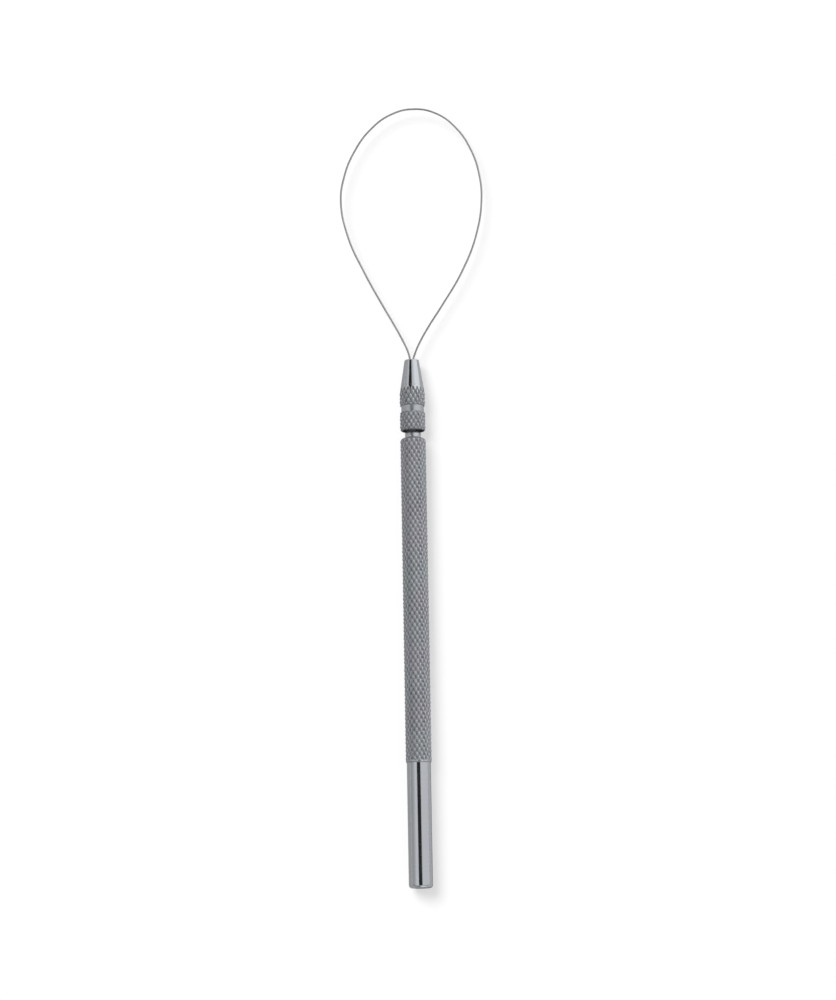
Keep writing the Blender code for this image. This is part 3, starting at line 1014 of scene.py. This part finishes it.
def make_world():
    """A soft studio: paler to the right, with a dark gap overhead that leans to the left.

    The camera itself sees it plain white, as it does the floor.
    """
    world = bpy.data.worlds.new("soft_studio")
    bpy.context.scene.world = world
    world.use_nodes = True
    tree = world.node_tree
    direction = put(tree, "ShaderNodeTexCoord").outputs["Generated"]
    axes = put(tree, "ShaderNodeSeparateXYZ", Vector=direction).outputs
    height = reckon(tree, "MAXIMUM", axes["Z"], 0.05)
    aside = reckon(tree, "DIVIDE", axes["X"], height)
    ahead = reckon(tree, "DIVIDE", axes["Y"], height)

    along = remap(tree, ahead, -0.1, 0.9)
    middle = reckon(tree, "MULTIPLY", along, GAP_LEAN)
    half_width = reckon(tree, "MULTIPLY_ADD", along, GAP_WIDENING, GAP_HALF_WIDTH)
    off = reckon(tree, "ABSOLUTE", reckon(tree, "SUBTRACT", aside, middle))
    beyond = reckon(tree, "SUBTRACT", off, half_width)
    gap_side = remap(tree, beyond, -0.02, 0.03, 1.0, 0.0)
    gap_front = remap(tree, ahead, 1.0, 1.3, 1.0, 0.0)
    gap_back = remap(tree, ahead, -0.8, -0.4)
    gap = reckon(tree, "MULTIPLY", gap_side, reckon(tree, "MULTIPLY", gap_front, gap_back))

    left_level = remap(tree, ahead, 0.35, 0.6, 0.87, 0.81)
    left = remap(tree, axes["X"], -0.98, -0.55, 0.48, left_level)
    right = remap(tree, axes["X"], -0.1, 0.5, 0.0, -0.04)
    low_behind = remap(tree, axes["X"], -0.1, 0.15, 0.5, 2.2)
    behind = remap(tree, axes["Y"], -0.95, -0.55, low_behind, 1.0)
    dim_behind = remap(tree, ahead, -0.9, -0.2, 0.6, 1.0)
    around = reckon(tree, "MULTIPLY", behind, dim_behind)
    sides = reckon(tree, "MULTIPLY", reckon(tree, "ADD", left, right), around)

    bright_ahead = remap(tree, axes["Y"], 0.2, 0.5, 0.0, 0.43)
    bright_right = remap(tree, axes["X"], 0.15, 0.55)
    patch = reckon(tree, "MULTIPLY", bright_ahead, bright_right)
    straight_ahead = remap(tree, reckon(tree, "ABSOLUTE", aside), 0.6, 1.0, 0.3, 0.0)
    bright_front = remap(tree, ahead, 0.75, 1.3, 0.0, straight_ahead)
    level = reckon(tree, "ADD", sides, reckon(tree, "ADD", patch, bright_front))
    lit = reckon(tree, "MULTIPLY", level, reckon(tree, "SUBTRACT", 1.0, gap))
    strength = reckon(tree, "MULTIPLY_ADD", gap, GAP_LEVEL, lit)

    seen = put(tree, "ShaderNodeLightPath").outputs["Is Camera Ray"]
    background = tree.nodes["Background"]
    fill(tree, background.inputs["Color"], blend_colour(tree, seen, STUDIO_TINT, WHITE))
    fill(tree, background.inputs["Strength"], blend(tree, seen, strength, 1.0))


def make_floor(settings):
    """The plain surface that the tool lies on."""
    work = bmesh.new()
    bmesh.ops.create_circle(work, cap_ends=True, radius=FLOOR_RADIUS, segments=FLOOR_STEPS)
    bmesh.ops.translate(work, vec=(0, 0, FLOOR_Z), verts=work.verts)
    piece = finished(work, "pale_floor")
    piece.data.materials.append(floor_material(settings.finish.floor))


def stand(data, target, back, distance):
    """Adds a light or camera that looks at the target from a distance."""
    stood = bpy.data.objects.new(data.name, data)
    bpy.context.collection.objects.link(stood)
    stood.location = target + back * distance
    stood.rotation_mode = "QUATERNION"
    stood.rotation_quaternion = back.to_track_quat("Z", "Y")
    return stood


def make_key_light(settings):
    """A soft light from the upper left, which gives the shadow on the floor."""
    stage = settings.stage
    data = bpy.data.lights.new("key_light", "AREA")
    data.shape = "DISK"
    data.size = stage.key_size
    data.energy = stage.key_power
    target = Vector((0, stage.aim_along, 0))
    light = stand(data, target, Vector(KEY_DIRECTION).normalized(), stage.key_distance)
    light.visible_glossy = False


def make_camera(settings):
    """The camera above the tool, a little to the tail's side and slightly turned."""
    stage = settings.stage
    data = bpy.data.cameras.new("camera")
    data.sensor_width = CAMERA_SENSOR
    data.lens = data.sensor_width * stage.distance / stage.view_height
    data.clip_start, data.clip_end = CAMERA_CLIP
    target = Vector((stage.aim_aside, stage.aim_along, 0))
    back = Vector((0, -cos(stage.elevation), sin(stage.elevation)))
    camera = stand(data, target, back, stage.distance)
    camera.rotation_quaternion @= Matrix.Rotation(-stage.roll, 3, "Z").to_quaternion()
    bpy.context.scene.camera = camera


# Operators


class PULLING_LOOP_OT_handle(bpy.types.Operator):
    """Model the knurled handle with its tail and threaded neck"""

    bl_idname = "pulling_loop.handle"
    bl_label = "Handle"

    def execute(self, context):
        settings = context.scene.pulling_loop
        finish, depth = settings.finish, settings.thread.depth
        neck_radius = settings.handle.neck_diameter / 2
        materials = [
            knurled_steel(settings),
            turned_metal("polished_steel", finish.polished, POLISHED_RINGS),
            grooved_metal("threaded_steel", finish.polished, finish.groove, neck_radius, depth),
            turned_metal("turned_neck_steel", finish.neck, NECK_RINGS),
        ]
        dress(make_handle(settings), materials, "handle_body", "handle")
        return {"FINISHED"}


class PULLING_LOOP_OT_chuck_nut(bpy.types.Operator):
    """Model the chuck nut with its knurled bands and polished cone"""

    bl_idname = "pulling_loop.chuck_nut"
    bl_label = "Chuck nut"

    def execute(self, context):
        settings = context.scene.pulling_loop
        finish, thread = settings.finish, settings.thread
        bore_radius = settings.handle.neck_diameter / 2 + thread.clearance
        materials = [
            knurled_steel(settings),
            turned_metal("polished_nut_steel", finish.polished, POLISHED_RINGS),
            grooved_metal(
                "threaded_nut_steel", finish.groove, finish.polished, bore_radius, thread.depth
            ),
            turned_metal("turned_nut_steel", finish.neck, GROOVE_RINGS),
            # Painted shade: dark steel for the nut's rear face and entry chamfer
            turned_metal("painted_shade_end_steel", finish.dull, PAINTED_SHADE_RINGS),
        ]
        dress(make_nut(settings), materials, "nut_body", "chuck_nut")
        return {"FINISHED"}


class PULLING_LOOP_OT_collet(bpy.types.Operator):
    """Model the split collet"""

    bl_idname = "pulling_loop.collet"
    bl_label = "Collet"

    def execute(self, context):
        settings = context.scene.pulling_loop
        brass = turned_metal("turned_brass", settings.finish.brass, BRASS_RINGS)
        dress(make_collet(settings), [brass], "collet_body", "collet")
        return {"FINISHED"}


class PULLING_LOOP_OT_wire_loop(bpy.types.Operator):
    """Bend the spring wire to its loop"""

    bl_idname = "pulling_loop.wire_loop"
    bl_label = "Wire loop"

    def execute(self, context):
        settings = context.scene.pulling_loop
        wire = drawn_wire("drawn_spring_wire", settings.finish.wire)
        dress(make_wire(settings), [wire], "loop_body", "wire_loop")
        return {"FINISHED"}


class PULLING_LOOP_OT_stage(bpy.types.Operator):
    """Set the floor, the light and the camera"""

    bl_idname = "pulling_loop.stage"
    bl_label = "Stage"

    def execute(self, context):
        settings = context.scene.pulling_loop
        make_world()
        make_floor(settings)
        make_key_light(settings)
        make_camera(settings)
        context.scene.view_settings.view_transform = "Standard"
        return {"FINISHED"}


class PULLING_LOOP_PT_panel(bpy.types.Panel):
    """Sizes, finishes and the operators of the pulling loop"""

    bl_idname = "PULLING_LOOP_PT_panel"
    bl_label = "Pulling Loop"
    bl_space_type = "VIEW_3D"
    bl_region_type = "UI"
    bl_category = "Pulling Loop"

    def draw(self, context):
        settings = context.scene.pulling_loop
        for operator in OPERATORS:
            self.layout.operator(operator.bl_idname)
        for part in settings.__annotations__:
            box = self.layout.box()
            box.label(text=part.capitalize())
            group = getattr(settings, part)
            for name in group.__annotations__:
                box.prop(group, name)


OPERATORS = (
    PULLING_LOOP_OT_handle,
    PULLING_LOOP_OT_chuck_nut,
    PULLING_LOOP_OT_collet,
    PULLING_LOOP_OT_wire_loop,
    PULLING_LOOP_OT_stage,
)
CLASSES = (
    KnurlSettings,
    HandleSettings,
    ThreadSettings,
    NutSettings,
    ColletSettings,
    WireSettings,
    FinishSettings,
    StageSettings,
    PullingLoopSettings,
    *OPERATORS,
    PULLING_LOOP_PT_panel,
)


def register():
    for item in CLASSES:
        bpy.utils.register_class(item)
    bpy.types.Scene.pulling_loop = PointerProperty(type=PullingLoopSettings)


def unregister():
    del bpy.types.Scene.pulling_loop
    for item in reversed(CLASSES):
        bpy.utils.unregister_class(item)


def main():
    """Makes every piece and the stage."""
    register()
    bpy.ops.pulling_loop.handle()
    bpy.ops.pulling_loop.chuck_nut()
    bpy.ops.pulling_loop.collet()
    bpy.ops.pulling_loop.wire_loop()
    bpy.ops.pulling_loop.stage()


if __name__ == "__main__":
    main()
